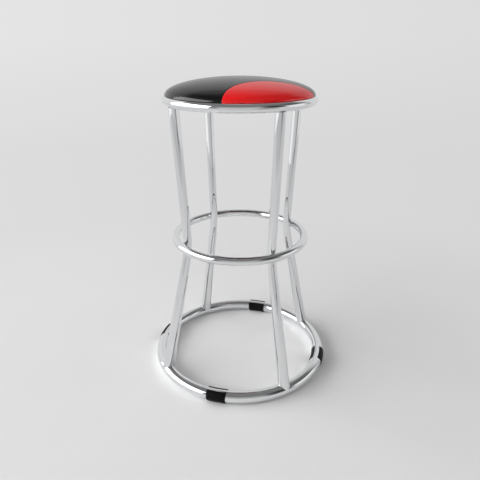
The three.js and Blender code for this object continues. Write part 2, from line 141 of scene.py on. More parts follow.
# The two panels' seam is part of a circle round a point beside the cushion
PANEL_RADIUS = 165.5 * MM
PANEL_NEAREST = 88.6 * MM
PANEL_AWAY = PANEL_NEAREST + PANEL_RADIUS
PANEL_ANGLE = math.radians(-46.6)
SEAM_DEPTH = 0.35 * MM
SEAM_WIDTH = 1.5 * MM
SEAM_JOINT = SEAT_GAP / 2
SEAM_END_MARGIN = 9 * MM

LEG_PLACES = [(side, (i + 0.5) * QUARTER_TURN)
              for i, side in enumerate(["back_right", "back_left", "front_left", "front_right"])]
SIDE_PLACES = [(side, i * QUARTER_TURN) for i, side in enumerate(["right", "back", "left", "front"])]

# The camera that took the photograph
CAMERA_AZIMUTH = math.radians(14.88)
CAMERA_DISTANCE = 1.2132
CAMERA_HEIGHT = 0.8805
CAMERA_PITCH = math.radians(23.015)
CAMERA_LENS = 35.362

# The pale background as the camera sees it: its light, and how it falls off downwards and to the right
BACKGROUND = 0.715
BACKGROUND_HORIZON = 1.045
BACKGROUND_FALL = 0.36
BACKGROUND_LOW = 0.2
BACKGROUND_TILT = 0.1
BACKGROUND_TILT_LOSS = 0.2
BACKGROUND_NEAREST = 0.7
BACKGROUND_WIDEST = 0.8
WHITE = (1, 1, 1, 1)


# Node trees


class Nodes:
    """A node tree, with short calls for the nodes that this scene uses."""

    def __init__(self, tree):
        self.tree = tree

    def feed(self, socket, value):
        """Links another node's output to a socket, or sets the socket to a constant."""
        if isinstance(value, bpy.types.NodeSocket):
            self.tree.links.new(value, socket)
        else:
            socket.default_value = value

    def node(self, kind, inputs=None, **settings):
        made = self.tree.nodes.new("ShaderNode" + kind)
        for key, value in settings.items():
            setattr(made, key, value)
        for key, value in (inputs or {}).items():
            self.feed(made.inputs[key], value)
        return made

    def math(self, operation, *values):
        return self.node("Math", dict(enumerate(values)), operation=operation).outputs[0]

    def remap(self, value, low, high, to_low=0.0, to_high=1.0, blend="LINEAR"):
        inputs = {"Value": value, "From Min": low, "From Max": high, "To Min": to_low, "To Max": to_high}
        return self.node("MapRange", inputs, interpolation_type=blend).outputs["Result"]

    def ease(self, *values):
        return self.remap(*values, blend="SMOOTHSTEP")

    def background(self, drop, across):
        """The background's level on a line of sight that drops and goes across by these slopes."""
        drop = self.math("MINIMUM", drop, BACKGROUND_LOW)
        level = self.math("MULTIPLY_ADD", drop, -BACKGROUND_FALL, BACKGROUND_HORIZON)
        tilt = self.math("MULTIPLY_ADD", drop, -BACKGROUND_TILT_LOSS, BACKGROUND_TILT)
        return self.math("SUBTRACT", level, self.math("MULTIPLY", tilt, across))


class Shader(Nodes):
    """The node tree of a new material."""

    def __init__(self, name):
        self.material = bpy.data.materials.new(name)
        self.material.use_nodes = True
        super().__init__(self.material.node_tree)
        self.bsdf = self.tree.nodes["Principled BSDF"]
        self.place = self.node("TexCoord").outputs["Object"]

    def surface(self, **values):
        for key, value in values.items():
            self.feed(self.bsdf.inputs[key.replace("_", " ")], value)
        return self.material

    def finish(self, colours, roughness, bump, **values):
        """Feeds the surface what colours, remap and bump make of these, and gives back the material."""
        return self.surface(Base_Color=self.colours(*colours), Roughness=self.remap(*roughness),
                            Normal=self.bump(*bump), **values)

    def noise(self, scale, detail=3.0, roughness=0.5, distortion=0.0):
        inputs = {"Vector": self.place, "Scale": scale, "Detail": detail, "Roughness": roughness,
                  "Distortion": distortion}
        return self.node("TexNoise", inputs).outputs["Fac"]

    def cells(self, scale):
        return self.node("TexVoronoi", {"Vector": self.place, "Scale": scale}).outputs["Distance"]

    def colours(self, value, *stops):
        made = self.node("ValToRGB", {"Fac": value})
        for element, (position, colour) in zip(made.color_ramp.elements, stops):
            element.position = position
            element.color = (*colour, 1)
        return made.outputs["Color"]

    def sum(self, first, second, share):
        return self.math("MULTIPLY_ADD", second, share, first)

    def bump(self, height, distance, strength):
        inputs = {"Height": height, "Distance": distance, "Strength": strength}
        return self.node("Bump", inputs).outputs["Normal"]

    def side(self, on_side, on_top):
        """One value on the cushion's steep side, where the skin is stretched, and another on its top."""
        height = self.node("SeparateXYZ", {0: self.place}).outputs["Z"]
        return self.ease(height, STRETCHED_BELOW, RELAXED_ABOVE, on_side, on_top)

    def cover(self, share, over):
        """Lays another shader over a share of the surface."""
        mix = self.node("MixShader", {0: share, 1: self.bsdf.outputs[0], 2: over.outputs[0]})
        self.feed(self.tree.nodes["Material Output"].inputs["Surface"], mix.outputs[0])


def chrome_material():
    """Bright plate on drawn tube: nearly a mirror, with a faint ripple and a few dull smears."""
    shader = Shader("chrome")
    tint = shader.noise(9, 2)
    smears = shader.noise(38, 5, 0.65, 0.6)
    return shader.finish(
        Metallic=1.0, colours=(tint, (0.3, (0.80, 0.81, 0.825)), (0.7, (0.84, 0.845, 0.855))),
        roughness=(smears, 0.45, 0.8, 0.015, 0.06, "SMOOTHSTEP"),
        bump=(shader.noise(60, 2), 0.02 * MM, 0.12))


def weld_material():
    """A welded and plated seam: the same chrome over a finely rippled bead."""
    shader = Shader("chrome_weld")
    ripple = shader.noise(420, 3)
    return shader.finish(
        Metallic=1.0, colours=(ripple, (0.3, (0.70, 0.705, 0.72)), (0.7, (0.83, 0.835, 0.845))),
        roughness=(ripple, 0.3, 0.7, 0.1, 0.2),
        bump=(ripple, 0.15 * MM, 0.5))


def zinc_material():
    """Bright zinc plate on small hardware."""
    shader = Shader("zinc_plate")
    grain = shader.noise(900, 4, 0.7)
    mixed = shader.sum(grain, shader.noise(160, 2), 0.6)
    return shader.finish(
        Metallic=1.0, colours=(mixed, (0.5, (0.50, 0.51, 0.53)), (1.0, (0.70, 0.71, 0.72))),
        roughness=(grain, 0.3, 0.7, 0.28, 0.42),
        bump=(grain, 0.03 * MM, 0.5))


def plastic_material():
    """Moulded black plastic with a fine spark texture and a few pale scuffs."""
    shader = Shader("clip_plastic")
    grain = shader.noise(1900, 3, 0.6)
    scuffs = shader.ease(shader.noise(130, 6, 0.75, 1.2), 0.62, 0.8)
    return shader.finish(
        Specular_IOR_Level=0.12,
        colours=(scuffs, (0.0, (0.0025, 0.0025, 0.003)), (1.0, (0.012, 0.012, 0.013))),
        roughness=(shader.sum(grain, scuffs, 0.5), 0.3, 1.0, 0.36, 0.62),
        bump=(grain, 0.05 * MM, 0.6))


def vinyl_material(name, deep, plain):
    """Glossy vinyl: an almost invisible grain, slow waves in its gloss and dull pores, which open where the
    skin isn't stretched."""
    shader = Shader(name)
    waves = shader.noise(14, 3)
    height = shader.sum(shader.remap(shader.cells(1150), 0.0, 0.6), waves, 2.0)
    shader.cover(shader.side(0.04, 0.19), shader.node("BsdfDiffuse", {"Color": (*deep, 1)}))
    return shader.finish(
        colours=(shader.noise(55, 4), (0.3, deep), (0.7, plain)),
        roughness=(waves, 0.3, 0.7, 0.12, 0.17),
        Specular_IOR_Level=shader.side(0.6, 0.42),
        bump=(height, 0.02 * MM, 0.35))


def plywood_material():
    """Raw birch ply: long wavering grain with paler and darker bands."""
    shader = Shader("plywood")
    inputs = {"Vector": shader.place, "Scale": 34, "Distortion": 9, "Detail": 4, "Detail Scale": 1.6}
    rings = shader.node("TexWave", inputs, wave_type="BANDS", bands_direction="X")
    fibres = shader.noise(700, 5, 0.7)
    mixed = shader.sum(rings.outputs["Fac"], fibres, 0.5)
    return shader.finish(
        colours=(mixed, (0.2, (0.42, 0.26, 0.12)), (1.0, (0.66, 0.46, 0.26))),
        roughness=(fibres, 0.3, 0.7, 0.6, 0.85),
        bump=(mixed, 0.15 * MM, 0.5))


def cloth_material():
    """Black non-woven cloth with a warm cast: tangled short fibres, pressed flat."""
    shader = Shader("black_cloth")
    fibres = shader.noise(1400, 6, 0.8, 2.0)
    mixed = shader.sum(fibres, shader.cells(620), 0.5)
    return shader.finish(
        Sheen_Weight=0.05, Specular_IOR_Level=0.2,
        colours=(mixed, (0.4, (0.026, 0.011, 0.011)), (0.9, (0.075, 0.038, 0.038))),
        roughness=(fibres, 0.3, 0.7, 0.8, 1.0),
        bump=(mixed, 0.2 * MM, 0.7))


def foam_material():
    """Cream open-cell foam: small round pores and slow yellowing."""
    shader = Shader("foam")
    pores = shader.cells(900)
    mixed = shader.sum(shader.remap(pores, 0.0, 0.5, 0.0, 0.6), shader.noise(22, 3), 0.5)
    return shader.finish(
        colours=(mixed, (0.2, (0.55, 0.45, 0.22)), (0.8, (0.84, 0.78, 0.55))),
        roughness=(pores, 0.0, 0.5, 0.85, 1.0),
        bump=(pores, 0.4 * MM, 0.8))


# Points and faces


def around(point, angle):
    """A point turned about the Z axis."""
    x, y, z = point
    c, s = math.cos(angle), math.sin(angle)
    return Vector((x * c - y * s, x * s + y * c, z))


def arc(centre, radius, start, end, steps, rise=None):
    """Points of an arc from one angle to another. With a rise of its own it is part of an oval."""
    turns = [start + (end - start) * i / steps for i in range(steps + 1)]
    rise = rise or radius
    return [(centre[0] + radius * math.cos(turn), centre[1] + rise * math.sin(turn)) for turn in turns]


def bend(start, middle, end, share):
    """A point of the curve that leaves start towards middle and comes to end from there."""
    return start * (1 - share) ** 2 + middle * (2 * share * (1 - share)) + end * share ** 2


def grid_faces(rows, columns, start=0, wrap_rows=False, wrap_columns=True):
    faces = []
    for i in range(rows if wrap_rows else rows - 1):
        low, high = start + i * columns, start + (i + 1) % rows * columns
        for j in range(columns if wrap_columns else columns - 1):
            following = (j + 1) % columns
            faces.append((low + j, low + following, high + following, high + j))
    return faces


def capped_faces(rows, columns, start=0):
    """Faces of a tube that is closed at both ends."""
    last = start + (rows - 1) * columns
    caps = [tuple(range(start + columns - 1, start - 1, -1)), tuple(range(last, last + columns))]
    return grid_faces(rows, columns, start) + caps


def disc(rows, spokes):
    """A round skin on rows of (radius, height), the first of which is its middle."""
    points = [Vector((0, 0, rows[0][1]))]
    points += [around((r, 0, z), TURN * j / spokes) for r, z in rows[1:] for j in range(spokes)]
    faces = [(0, 1 + j, 1 + (j + 1) % spokes) for j in range(spokes)]
    faces += [face[::-1] for face in grid_faces(len(rows) - 1, spokes, 1)]
    return points, faces


def prism(outline, low, high, angle):
    """An upright prism over an outline, turned about the Z axis."""
    points = [around((x, y, z), angle) for z in (low, high) for x, y in outline]
    return points, capped_faces(2, len(outline))


# Pieces


def put(name, data):
    """A new object in the scene."""
    made = bpy.data.objects.new(name, data)
    bpy.context.scene.collection.objects.link(made)
    return made


def put_mesh(name, points, faces):
    mesh = bpy.data.meshes.new(name)
    mesh.from_pydata([tuple(p) for p in points], [], faces)
    return put(name, mesh)


def discard(helper):
    mesh = helper.data
    bpy.data.objects.remove(helper)
    bpy.data.meshes.remove(mesh)


def new_piece(name, points, faces, material, slot, merge=MERGE, smooth=True):
    """A piece of the stool. Doubled points are merged, collapsed faces go and all faces turn outwards."""
    piece = put_mesh(name, points, faces)
    mesh = piece.data
    mesh.validate()
    if smooth:
        mesh.shade_smooth()
    mesh.materials.append(material)
    work = bmesh.new()
    work.from_mesh(mesh)
    bmesh.ops.remove_doubles(work, verts=work.verts, dist=merge)
    bmesh.ops.dissolve_degenerate(work, edges=work.edges, dist=merge / 4)
    bmesh.ops.recalc_face_normals(work, faces=work.faces)
    work.to_mesh(mesh)
    work.free()
    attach(piece, "root")
    return piece


def modify(piece, kind, **settings):
    """Puts a modifier on a piece and applies it."""
    modifier = piece.modifiers.new("change", kind)
    for key, value in settings.items():
        setattr(modifier, key, value)
    graph = bpy.context.evaluated_depsgraph_get()
    mesh = bpy.data.meshes.new_from_object(piece.evaluated_get(graph))
    piece.modifiers.clear()
    old, piece.data = piece.data, mesh
    bpy.data.meshes.remove(old)


def soften(piece, width, segments, angle):
    """Rounds the edges of a piece that are sharper than an angle in degrees."""
    modify(piece, "BEVEL", width=width, segments=segments, limit_method="ANGLE",
           angle_limit=math.radians(angle), harden_normals=True)


def lathe(name, profile, sides, material, slot, at=(0, 0)):
    """A closed profile of (radius, height) turned about an upright axis."""
    points = [(at[0] + r * math.cos(TURN * i / sides), at[1] + r * math.sin(TURN * i / sides), z)
              for r, z in profile for i in range(sides)]
    return new_piece(name, points, grid_faces(len(profile), sides, wrap_rows=True), material, slot)


def make_ring(ring, material):
    around_steps, across_steps = 288, 56
    section = arc((ring.radius, ring.height), ring.tube, 0, TURN, across_steps)[:-1]
    points = [around((x, 0, z), TURN * i / around_steps) for i in range(around_steps) for x, z in section]
    faces = grid_faces(around_steps, across_steps, wrap_rows=True)
    piece = new_piece(ring.node + "_tube", points, faces, material, "chrome")
    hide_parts(ring.node)


# Legs


class Leg:
    """A tapered tube with one bend, from the base ring up to the seat ring, on the +X side. A place on it
    runs from 0 to 1 below the bend, to 2 round the bend and to 3 above it."""

    SIDES = 56
    LOWER_STEPS = 26
    BEND_STEPS = 26
    UPPER_STEPS = 30
    CROWDING = 1.3
    SEAM_STEPS = 96
    WAIST_STEPS = 16
    HALVINGS = 40
    FOOT_AT_MOST = 0.5
    TOP_AT_LEAST = 2.6
    TOP = 3.0

    def __init__(self):
        inside = FOOTREST.radius - FOOTREST.tube
        self.waist = Vector((inside - LEG_WAIST_RADIUS + LEG_NOTCH, 0, FOOTREST.height - LEG_WAIST_DROP))
        self.foot = Vector((BASE.radius + LEG_FOOT_OUTSET, 0, BASE.height))
        self.top = Vector((SEAT.radius - LEG_TOP_INSET, 0, (TAB_BOTTOM + TAB_TOP) / 2))
        down = (self.foot - self.waist).normalized()
        up = (self.top - self.waist).normalized()
        self.foot_radius = (BASE.tube + SEAT_GAP - LEG_FOOT_MARGIN) * -down.z
        self.bend_start = self.waist + down * LEG_BEND_REACH
        self.bend_end = self.waist + up * LEG_BEND_REACH

    def radius(self, height):
        above = height > self.waist.z
        end, end_radius = (SEAT.height, LEG_TOP_RADIUS) if above else (BASE.height, self.foot_radius)
        share = (height - self.waist.z) / (end - self.waist.z)
        return LEG_WAIST_RADIUS + (end_radius - LEG_WAIST_RADIUS) * share

    def centre(self, place):
        """The centre and the heading at a place."""
        if place <= 1:
            return self.foot.lerp(self.bend_start, place), (self.bend_start - self.foot).normalized()
        if place >= 2:
            return self.bend_end.lerp(self.top, place - 2), (self.top - self.bend_end).normalized()
        share = place - 1
        heading = (self.waist - self.bend_start) * (1 - share) + (self.bend_end - self.waist) * share
        return bend(self.bend_start, self.waist, self.bend_end, share), heading.normalized()

    def surface(self, place, turn):
        """A point of the tube's skin, and its direction out of the tube."""
        centre, heading = self.centre(place)
        out = Vector((heading.z, 0, -heading.x)) * math.cos(turn) + Vector((0, math.sin(turn), 0))
        return centre + out * self.radius(centre.z), out

    def gap(self, ring, place, turn):
        return ring.gap(self.surface(place, turn)[0])

    def meeting(self, ring, turn, near, far):
        """The place between near (inside a ring's tube) and far (outside it) where the skin meets it."""
        for _ in range(self.HALVINGS):
            middle = (near + far) / 2
            near, far = (middle, far) if self.gap(ring, middle, turn) < 0 else (near, middle)
        return far

    def foot_place(self, turn):
        return self.meeting(BASE, turn, 0.0, self.FOOT_AT_MOST)

    def top_place(self, turn):
        """Where the skin meets the seat ring, or the leg's own end beside the ring."""
        if self.gap(SEAT, self.TOP, turn) > 0:
            return self.TOP
        return self.meeting(SEAT, turn, self.TOP, self.TOP_AT_LEAST)

    def mesh(self, angle):
        turns = [TURN * j / self.SIDES for j in range(self.SIDES)]
        feet = [self.foot_place(turn) for turn in turns]
        tops = [self.top_place(turn) for turn in turns]
        places = []
        for i in range(self.LOWER_STEPS):
            share = (i / self.LOWER_STEPS) ** self.CROWDING
            places.append([low + (1 - low) * share for low in feet])
        places += [[1 + i / self.BEND_STEPS] * self.SIDES for i in range(self.BEND_STEPS + 1)]
        for i in range(1, self.UPPER_STEPS + 1):
            share = 1 - (1 - i / self.UPPER_STEPS) ** self.CROWDING
            places.append([2 + (high - 2) * share for high in tops])
        points = [around(self.surface(place, turn)[0], angle)
                  for row in places for place, turn in zip(row, turns)]
        faces = grid_faces(len(places), self.SIDES)
        last = len(points) - self.SIDES
        points.append(around(self.foot + Vector((0, 0, BASE.tube * 0.95)), angle))
        points.append(around(self.top - Vector((0, 0, SEAT_GAP)), angle))
        for j in range(self.SIDES):
            following = (j + 1) % self.SIDES
            faces.append((following, j, len(points) - 2))
            faces.append((last + j, last + following, len(points) - 1))
        return points, faces

    def seam_point(self, ring, place, turn):
        """A point where the skin meets a ring, and its directions out of the leg and out of the ring."""
        point, out = self.surface(place, turn)
        return point, out, ring.normal(point)

    def foot_seam(self):
        return [self.seam_point(BASE, self.foot_place(turn), turn)
                for turn in (TURN * j / self.SEAM_STEPS for j in range(self.SEAM_STEPS))]

    def top_seam(self):
        """The seam with the seat ring, over the turns where the leg ends on the ring."""
        turns = [math.pi * (2 * j / self.SEAM_STEPS - 1) for j in range(self.SEAM_STEPS + 1)]
        found = [(self.top_place(turn), turn) for turn in turns]
        return [self.seam_point(SEAT, place, turn) for place, turn in found if place < self.TOP]

    def waist_seam(self):
        """The seam with the footrest ring, which stands a little into the leg's outer side."""
        coarse, fine, reach = 200, 400, 0.45
        deepest = min((1 + i / coarse for i in range(2 * coarse)),
                      key=lambda place: self.gap(FOOTREST, place, 0))

        def nearest(turn):
            tried = [deepest + i / fine for i in range(-fine // 10, fine // 10 + 1)]
            return min(tried, key=lambda place: self.gap(FOOTREST, place, turn))

        widest, beside = 0.0, QUARTER_TURN
        for _ in range(self.HALVINGS):
            middle = (widest + beside) / 2
            meets = self.gap(FOOTREST, nearest(middle), middle) < 0
            widest, beside = (middle, beside) if meets else (widest, middle)
        upper, lower = [], []
        for j in range(-self.WAIST_STEPS, self.WAIST_STEPS + 1):
            turn = widest * 0.999 * math.sin(QUARTER_TURN * j / self.WAIST_STEPS)
            near = nearest(turn)
            for far, found in ((near + reach, upper), (near - reach, lower)):
                found.append(self.seam_point(FOOTREST, self.meeting(FOOTREST, turn, near, far), turn))
        return upper + lower[::-1]


def weld_bead(name, seam, closed, full_size, angle, material):
    """A small welded seam along the line where two tubes meet: a hollow fillet, closed under the skins."""
    curve_shares = (0.0, 0.25, 0.5, 0.75, 1.0)
    sink_share, hollow_share, root_share = 0.12, 0.18, 0.45
    count, columns = len(seam), len(curve_shares) + 1
    points = []
    for i, (point, out, up) in enumerate(seam):
        before = seam[(i - 1) % count][0] if closed or i else point
        after = seam[(i + 1) % count][0] if closed or i + 1 < count else point
        if (after - before).length < FINE_MERGE:
            continue
        along = (after - before).normalized()
        on_leg, on_ring = along.cross(out).normalized(), along.cross(up).normalized()
        on_leg = on_leg if on_leg.dot(up) > 0 else -on_leg
        on_ring = on_ring if on_ring.dot(out) > 0 else -on_ring
        size = full_size * (1.0 if closed else min(1.0, 0.25 + 4 * min(i, count - 1 - i) / count))
        leg_edge = point + (on_leg - out * sink_share) * size
        ring_edge = point + (on_ring - up * sink_share) * size
        middle = point + (on_leg + on_ring) * (hollow_share * size)
        points += [around(bend(leg_edge, middle, ring_edge, share), angle) for share in curve_shares]
        points.append(around(point - (out + up) * (root_share * size), angle))
    rows = len(points) // columns
    faces = grid_faces(rows, columns, wrap_rows=True) if closed else capped_faces(rows, columns)
    new_piece(name, points, faces, material, "chrome", FINE_MERGE)


def make_legs(chrome, weld):
    leg = Leg()
    seams = {"foot": leg.foot_seam(), "waist": leg.waist_seam(), "top": leg.top_seam()}
    for side, angle in LEG_PLACES:
        piece = new_piece("leg_tube_" + side, *leg.mesh(angle), chrome, "chrome")
        piece.data.set_sharp_from_angle(angle=math.radians(40))
        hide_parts("leg_" + side)
        for place, seam in seams.items():
            weld_bead(f"weld_{place}_{side}", seam, place != "top", WELD_SIZES[place], angle, weld)


# Floor clips


def clip_section():
    """Points (out from the tube's centre, up) round a clip's section: outside first, then its bore."""
    bore = BASE.tube + SEAT_GAP
    outer = bore + CLIP_WALL
    tread_corner = (CLIP_TREAD_WIDTH / 2, -outer)
    tread = -math.acos(tread_corner[0] / outer)

    def part(radius, start, end):
        return arc((0, 0), radius, start, end, 22)

    outside = part(outer, CLIP_OUTER_LIP, tread) + [tread_corner]
    other_side = [(-x, z) for x, z in part(outer, CLIP_INNER_LIP, tread) + [tread_corner]]
    inside = part(bore, math.pi - CLIP_INNER_LIP, TURN * 3 / 4)
    inside += part(bore, -QUARTER_TURN, CLIP_OUTER_LIP)[1:]
    return outside + other_side[::-1] + inside, outer


def make_clips(material):
    """Sprung saddles round the base ring's tube, open at the top, with a flat tread and rounded edges."""
    section, outer = clip_section()
    steps = 16
    for side, angle in SIDE_PLACES:
        points = []
        for i in range(steps + 1):
            for x, z in section:
                share = (z + outer) / (2 * outer)
                length = CLIP_TREAD_LENGTH + (CLIP_LENGTH - CLIP_TREAD_LENGTH) * share
                y = length * (i / steps - 0.5)
                out = math.sqrt((BASE.radius + x) ** 2 - y ** 2)
                points.append(around((out, y, BASE.height + z), angle))
        faces = capped_faces(steps + 1, len(section))
        piece = new_piece("floor_clip_saddle_" + side, points, faces, material, "clip_plastic")
        soften(piece, CLIP_ROUNDING, 3, 35)
        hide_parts("floor_clip_" + side)


# Cushion


def dome_height(radius, depth=0.0):
    across = min(1.0, radius / (DOME_RADIUS - depth))
    return DOME_BASE + (DOME_RISE - depth) * (1 - across ** DOME_FULLNESS) ** (1 / DOME_FULLNESS)


def dome_edge(depth=0.0):
    """The radius at which the dome turns in over the seat ring."""
    share = (ROLL_HEIGHT + depth - DOME_BASE) / (DOME_RISE - depth)
    return (DOME_RADIUS - depth) * (1 - share ** DOME_FULLNESS) ** (1 / DOME_FULLNESS)


def cushion_profile(radii, hug_steps, roll_steps, depth=0.0):
    """Rows of (radius, height) from the axis over the dome and a tight roll, down the ring's inner side."""
    edge, height = dome_edge(depth), ROLL_HEIGHT + depth
    lean = math.atan2(FINE_MERGE, dome_height(edge - FINE_MERGE, depth) - height)
    out, up = edge - SEAT.radius, height - SEAT.height
    hug = SEAT.tube + SEAT_GAP + depth
    roll = (out ** 2 + up ** 2 - hug ** 2) / (2 * (hug + out * math.cos(lean) + up * math.sin(lean)))
    x, z = edge - roll * math.cos(lean), height - roll * math.sin(lean)
    touch = math.atan2(z - SEAT.height, x - SEAT.radius)
    rows = [(r, dome_height(r, depth)) for r in radii]
    rows += arc((x, z), roll, lean, touch - math.pi, roll_steps)[1:]
    return rows + arc((SEAT.radius, SEAT.height), hug, touch, math.pi, hug_steps)[1:]


def hem_rows():
    """Rows of the cover below the cushion's side: down the board's edge and in under the board."""
    corner = (CUSHION_SIDE - HEM_CORNER, HEM_BOTTOM + HEM_CORNER)
    rows = [(CUSHION_SIDE, SEAT.height + (corner[1] - SEAT.height) * share) for share in (0.5, 1.0)]
    rows += arc(corner, HEM_CORNER, 0, -QUARTER_TURN, 4)[1:]
    return rows + [(corner[0] - (HEM_WIDTH - HEM_CORNER) * i / 9, HEM_BOTTOM) for i in range(1, 10)]


def dome_radii():
    """Radii of the dome's rows. Those past the red panel's tip are evenly spaced along its seam."""
    inner_steps, panel_steps, edge_steps = 26, 40, 14
    seam_end = dome_edge() - SEAM_END_MARGIN
    squares, double = PANEL_AWAY ** 2 + PANEL_RADIUS ** 2, 2 * PANEL_AWAY * PANEL_RADIUS
    last = math.acos((squares - seam_end ** 2) / double)
    radii = [PANEL_NEAREST * (i / inner_steps) ** 0.9 for i in range(inner_steps - 2)]
    radii += [PANEL_NEAREST - gap * MM for gap in (3.2, 2.0, 1.2, 0.6)]
    radii += [math.sqrt(squares - double * math.cos(last * i / panel_steps)) for i in range(panel_steps + 1)]
    return radii + [seam_end + SEAM_END_MARGIN * math.sin(QUARTER_TURN * i / edge_steps)
                    for i in range(1, edge_steps + 1)]


def panel_half_angle(radius):
    """Half of the angle that the red panel takes up at a distance from the axis."""
    if radius <= PANEL_NEAREST:
        return 0.0
    return math.acos((radius ** 2 + PANEL_AWAY ** 2 - PANEL_RADIUS ** 2) / (2 * radius * PANEL_AWAY))


def seam_dip(x, y):
    """How deep the skin dips at a point beside the seam of the two panels."""
    centre = around((PANEL_AWAY, 0, 0), PANEL_ANGLE)
    gap = math.hypot(x - centre.x, y - centre.y) - PANEL_RADIUS
    return SEAM_DEPTH * math.exp(-(gap / SEAM_WIDTH) ** 2)


def spread(start, end, count, radius, steps=(0.0, 0.5, 1.1, 1.9, 3.0, 4.6, 7.0)):
    """Angles from start to end, crowded beside both ends, at set distances in mm from the seam."""
    shrink = min(1.0, (end - start) * radius / (3 * steps[-1] * MM))
    edge = [step * MM * shrink / max(radius, MM) for step in steps]
    inner = [start + edge[-1] + (end - start - 2 * edge[-1]) * i / count for i in range(1, count)]
    return [start + e for e in edge] + inner + [end - e for e in reversed(edge)]


def cover_panel(name, node, red, material, slot, lift):
    """One panel of the cover, from the crown down to its hem, on rows that end at the seam."""
    nearest, columns = (PANEL_NEAREST + SEAM_JOINT, 54) if red else (0.0, 150)
    points = []
    rows = 0
    for r, z in cushion_profile(dome_radii(), 12, 8) + hem_rows():
        if red and r < PANEL_NEAREST + FINE_MERGE:
            continue
        half = panel_half_angle(r)
        slack = min(half, SEAM_JOINT / max(r, MM))
        start, end = (slack - half, half - slack) if red else (half + slack, TURN - half - slack)
        for turn in spread(start, end, columns, r):
            rise = lift(r, PANEL_ANGLE + turn) if z > ROLL_HEIGHT else 0.0
            points.append(around((max(r, nearest), 0, z + rise), PANEL_ANGLE + turn))
        rows += 1
    faces = grid_faces(rows, len(points) // rows, wrap_columns=False)
    piece = new_piece(name, points, faces, material, slot, FINE_MERGE)
    groove_and_pleat(piece.data)
    modify(piece, "SOLIDIFY", thickness=COVER_THICKNESS, offset=-1, use_even_offset=True)
    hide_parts(node)


def groove_and_pleat(mesh):
    """Sinks the skin beside the seam, and gathers the hem into small pleats under the board."""
    draw = random.Random(7)
    waves = [(draw.randint(34, 88), draw.uniform(0, TURN), draw.uniform(0.4, 1.0)) for _ in range(5)]
    total = sum(weight for _, _, weight in waves)
    normals = [v.normal.copy() for v in mesh.vertices]
    for vertex, normal in zip(mesh.vertices, normals):
        x, y, z = vertex.co
        if z > SEAT.height:
            vertex.co -= normal * seam_dip(x, y)
        if z < HEM_BOTTOM + HEM_CORNER / 10:
            turn = math.atan2(y, x)
            wave = sum(weight * math.sin(number * turn + phase) for number, phase, weight in waves) / total
            gathered = min(1.0, max(0.0, (CUSHION_SIDE - math.hypot(x, y)) / (HEM_WIDTH / 2)))
            vertex.co.z += PLEAT_HEIGHT * gathered * (1 + wave)
    mesh.update()


def crown_by_cloth():
    """Lets a vinyl skin settle over the crown as cloth, from a flatter start and under a light pressure from
    below, and gives back radii and how far off the dome the skin comes to lie there."""
    rings, spokes, frames, flatter = 26, 64, 24, 0.94
    radii = [dome_edge() * math.sin(QUARTER_TURN * i / rings) for i in range(rings + 1)]
    start = [(r, ROLL_HEIGHT + (dome_height(r) - ROLL_HEIGHT) * flatter) for r in radii]
    skin = put_mesh("crown_skin", *disc(start, spokes))
    held = skin.vertex_groups.new(name="held")
    count = len(skin.data.vertices)
    held.add(list(range(count - 2 * spokes, count)), 1.0, "REPLACE")
    cloth = skin.modifiers.new("cloth", "CLOTH")
    settings = dict(
        quality=6, mass=0.5, tension_stiffness=60, compression_stiffness=60, shear_stiffness=30,
        bending_stiffness=8, use_pressure=True, uniform_pressure_force=3.0, vertex_group_mass="held")
    for key, value in settings.items():
        setattr(cloth.settings, key, value)
    cloth.settings.effector_weights.gravity = 0
    cloth.collision_settings.use_collision = False
    cloth.point_cache.frame_start = 1
    cloth.point_cache.frame_end = frames
    for step in range(1, frames + 1):
        bpy.context.scene.frame_set(step)
    graph = bpy.context.evaluated_depsgraph_get()
    settled = [v.co.z for v in skin.evaluated_get(graph).to_mesh().vertices]
    bpy.context.scene.frame_set(1)
    discard(skin)
    offsets = [sum(settled[1 + i * spokes:1 + (i + 1) * spokes]) / spokes - dome_height(radii[i + 1])
               for i in range(rings)]
    return radii[1:], offsets


def crown_lift():
    """The crown's change of height at a place: the settled skin's, scaled down to what the outline allows,
    and a slow sway, both eased to nothing at the roll."""
    radii, offsets = crown_by_cloth()
    print("crown skin offsets, mm:", [round(offset / MM, 2) for offset in offsets])
    scale = SETTLING / max(SETTLING, *(abs(offset) for offset in offsets))

    def lift(radius, turn):
        k = max(1, min(len(radii) - 1, sum(1 for known in radii if known < radius)))
        share = min(1.0, max(0.0, (radius - radii[k - 1]) / (radii[k] - radii[k - 1])))
        settled = offsets[k - 1] + (offsets[k] - offsets[k - 1]) * share
        ease = max(0.0, 1 - (radius / dome_edge()) ** 6)
        return (settled * scale + SWAY * math.sin(2 * turn + 0.6) * (radius / CROWN_RADIUS) ** 2) * ease

    return lift


def make_cushion(black, red, foam):
    lift = crown_lift()
    cover_panel("cover_black_skin", "cover_black_panel", False, black, "black_vinyl", lift)
    cover_panel("cover_red_skin", "cover_red_panel", True, red, "red_vinyl", lift)
    depth = COVER_THICKNESS + 2 * SEAT_GAP + SEAM_DEPTH
    steps = 30
    radii = [dome_edge(depth) * math.sin(QUARTER_TURN * i / steps) for i in range(steps + 1)]
    rows = cushion_profile(radii, 8, 5, depth)
    rows += [(r, BOARD_TOP + 1.3 * SEAT_GAP) for r in (rows[-1][0], 0.0)]
    piece = lathe("foam_pad", rows, 120, foam, "foam")
    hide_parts("cushion_foam")


# Underside


